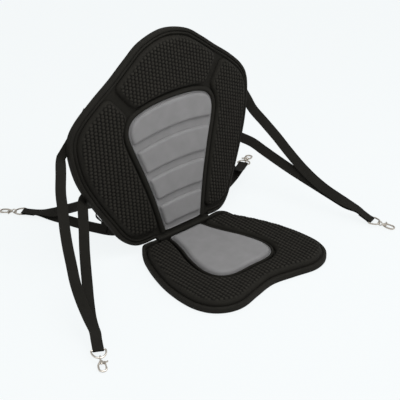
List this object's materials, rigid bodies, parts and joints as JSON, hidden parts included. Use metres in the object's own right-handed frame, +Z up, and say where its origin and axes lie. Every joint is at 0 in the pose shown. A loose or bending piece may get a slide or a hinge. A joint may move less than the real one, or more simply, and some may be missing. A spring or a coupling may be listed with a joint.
{
  "type": "kayak seat",
  "caption": "Padded kayak seat: a cushion sewn to a tall bowed backrest, with webbing bridles at front and rear that end in D rings and swivel snap hooks.",
  "frame": {"origin": "on the ground, at the middle of the footprint of cushion and backrest", "axes": "+Z up, -Y toward the front of the cushion, +X to the viewer's right when facing the backrest's front"},
  "size_m": [0.9688, 0.7634, 0.5361],
  "materials": {
    "black_fabric": "matt coated black fabric, textured on the pads",
    "grey_fabric": "matt mid-grey fabric",
    "webbing": "black woven webbing",
    "nickel": "nickel-plated metal"
  },
  "bodies": {
    "backrest": {"back_shell": "black_fabric", "back_binding": "black_fabric", "back_pad_top": "black_fabric", "back_pad_left": "black_fabric", "back_pad_right": "black_fabric", "back_panel": "grey_fabric", "back_panel_rim": "black_fabric", "hinge_roll": "black_fabric", "rear_left_tail": "webbing", "front_left_upper_strap": "webbing", "front_left_lower_strap": "webbing", "front_right_upper_strap": "webbing", "front_right_lower_strap": "webbing", "rear_left_upper_strap": "webbing", "rear_left_lower_strap": "webbing", "rear_right_upper_strap": "webbing", "rear_right_lower_strap": "webbing"},
    "cushion": {"seat_base": "black_fabric", "seat_binding": "black_fabric", "seat_pad": "black_fabric", "seat_panel": "grey_fabric", "seat_panel_welt": "black_fabric", "hinge_cuff": "black_fabric"},
    "front_left_ring": {"front_left_d_ring": "nickel"},
    "front_left_eye": {"front_left_swivel_eye": "nickel"},
    "front_left_snap": {"front_left_hook": "nickel", "front_left_gate_pin": "nickel"},
    "front_left_latch": {"front_left_gate": "nickel"},
    "front_right_ring": {"front_right_d_ring": "nickel"},
    "front_right_eye": {"front_right_swivel_eye": "nickel"},
    "front_right_snap": {"front_right_hook": "nickel", "front_right_gate_pin": "nickel"},
    "front_right_latch": {"front_right_gate": "nickel"},
    "rear_left_ring": {"rear_left_d_ring": "nickel"},
    "rear_left_eye": {"rear_left_swivel_eye": "nickel"},
    "rear_left_snap": {"rear_left_hook": "nickel", "rear_left_gate_pin": "nickel"},
    "rear_left_latch": {"rear_left_gate": "nickel"},
    "rear_right_ring": {"rear_right_d_ring": "nickel"},
    "rear_right_eye": {"rear_right_swivel_eye": "nickel"},
    "rear_right_snap": {"rear_right_hook": "nickel", "rear_right_gate_pin": "nickel"},
    "rear_right_latch": {"rear_right_gate": "nickel"}
  },
  "joints": [
    {"name": "cushion_fold", "type": "hinge", "parent": "backrest", "child": "cushion", "pos_m": [0, 0.12438, 0.02645], "axis": [-1, 0, 0], "range_deg": [-20, 72]},
    {"name": "front_left_ring_swing", "type": "hinge", "parent": "backrest", "child": "front_left_ring", "pos_m": [-0.4884, -0.1309, 0.0165], "axis": [0.866, -0.5, 0], "range_deg": [-70, 70]},
    {"name": "front_left_eye_swing", "type": "hinge", "parent": "front_left_ring", "child": "front_left_eye", "pos_m": [-0.50014, -0.15123, 0.01151], "axis": [0.866, -0.5, 0], "range_deg": [-65, 65]},
    {"name": "front_left_hook_swivel", "type": "hinge", "parent": "front_left_eye", "child": "front_left_snap", "pos_m": [-0.50625, -0.16182, 0.00891], "axis": [-0.4891, -0.8471, -0.2079], "continuous": true},
    {"name": "front_left_gate_hinge", "type": "hinge", "parent": "front_left_snap", "child": "front_left_latch", "pos_m": [-0.50148, -0.16796, 0.00829], "axis": [0.104, 0.1801, -0.9781], "range_deg": [0, 25], "stiffness_Nm_per_rad": 0.02, "springref_deg": -22.92},
    {"name": "front_right_ring_swing", "type": "hinge", "parent": "backrest", "child": "front_right_ring", "pos_m": [0.3936, -0.1503, 0.0105], "axis": [0.96, 0.28, 0], "range_deg": [-70, 70]},
    {"name": "front_right_eye_swing", "type": "hinge", "parent": "front_right_ring", "child": "front_right_eye", "pos_m": [0.40029, -0.17323, 0.0082], "axis": [0.96, 0.28, 0], "range_deg": [-65, 65]},
    {"name": "front_right_hook_swivel", "type": "hinge", "parent": "front_right_eye", "child": "front_right_snap", "pos_m": [0.40377, -0.18518, 0.007], "axis": [0.2787, -0.9556, -0.0958], "continuous": true},
    {"name": "front_right_gate_hinge", "type": "hinge", "parent": "front_right_snap", "child": "front_right_latch", "pos_m": [0.41152, -0.18603, 0.00671], "axis": [-0.0268, 0.092, -0.9954], "range_deg": [0, 25], "stiffness_Nm_per_rad": 0.02, "springref_deg": -22.92},
    {"name": "rear_left_ring_swing", "type": "hinge", "parent": "backrest", "child": "rear_left_ring", "pos_m": [-0.22, 0.4926, 0.0102], "axis": [-0.8351, -0.5501, 0], "range_deg": [-70, 70]},
    {"name": "rear_left_eye_swing", "type": "hinge", "parent": "rear_left_ring", "child": "rear_left_eye", "pos_m": [-0.23314, 0.51255, 0.0079], "axis": [-0.8351, -0.5501, 0], "range_deg": [-65, 65]},
    {"name": "rear_left_hook_swivel", "type": "hinge", "parent": "rear_left_eye", "child": "rear_left_snap", "pos_m": [-0.23999, 0.52294, 0.0067], "axis": [-0.5475, 0.8313, -0.0958], "continuous": true},
    {"name": "rear_left_gate_hinge", "type": "hinge", "parent": "rear_left_snap", "child": "rear_left_latch", "pos_m": [-0.24764, 0.52148, 0.00641], "axis": [0.0527, -0.08, -0.9954], "range_deg": [0, 25], "stiffness_Nm_per_rad": 0.02, "springref_deg": -22.92},
    {"name": "rear_right_ring_swing", "type": "hinge", "parent": "backrest", "child": "rear_right_ring", "pos_m": [0.3835, 0.2996, 0.0102], "axis": [-0.475, 0.88, 0], "range_deg": [-70, 70]},
    {"name": "rear_right_eye_swing", "type": "hinge", "parent": "rear_right_ring", "child": "rear_right_eye", "pos_m": [0.40452, 0.31095, 0.0079], "axis": [-0.475, 0.88, 0], "range_deg": [-65, 65]},
    {"name": "rear_right_hook_swivel", "type": "hinge", "parent": "rear_right_eye", "child": "rear_right_snap", "pos_m": [0.41547, 0.31686, 0.0067], "axis": [0.8759, 0.4728, -0.0958], "continuous": true},
    {"name": "rear_right_gate_hinge", "type": "hinge", "parent": "rear_right_snap", "child": "rear_right_latch", "pos_m": [0.41468, 0.32461, 0.00641], "axis": [-0.0843, -0.0455, -0.9954], "range_deg": [0, 25], "stiffness_Nm_per_rad": 0.02, "springref_deg": -22.92}
  ]
}
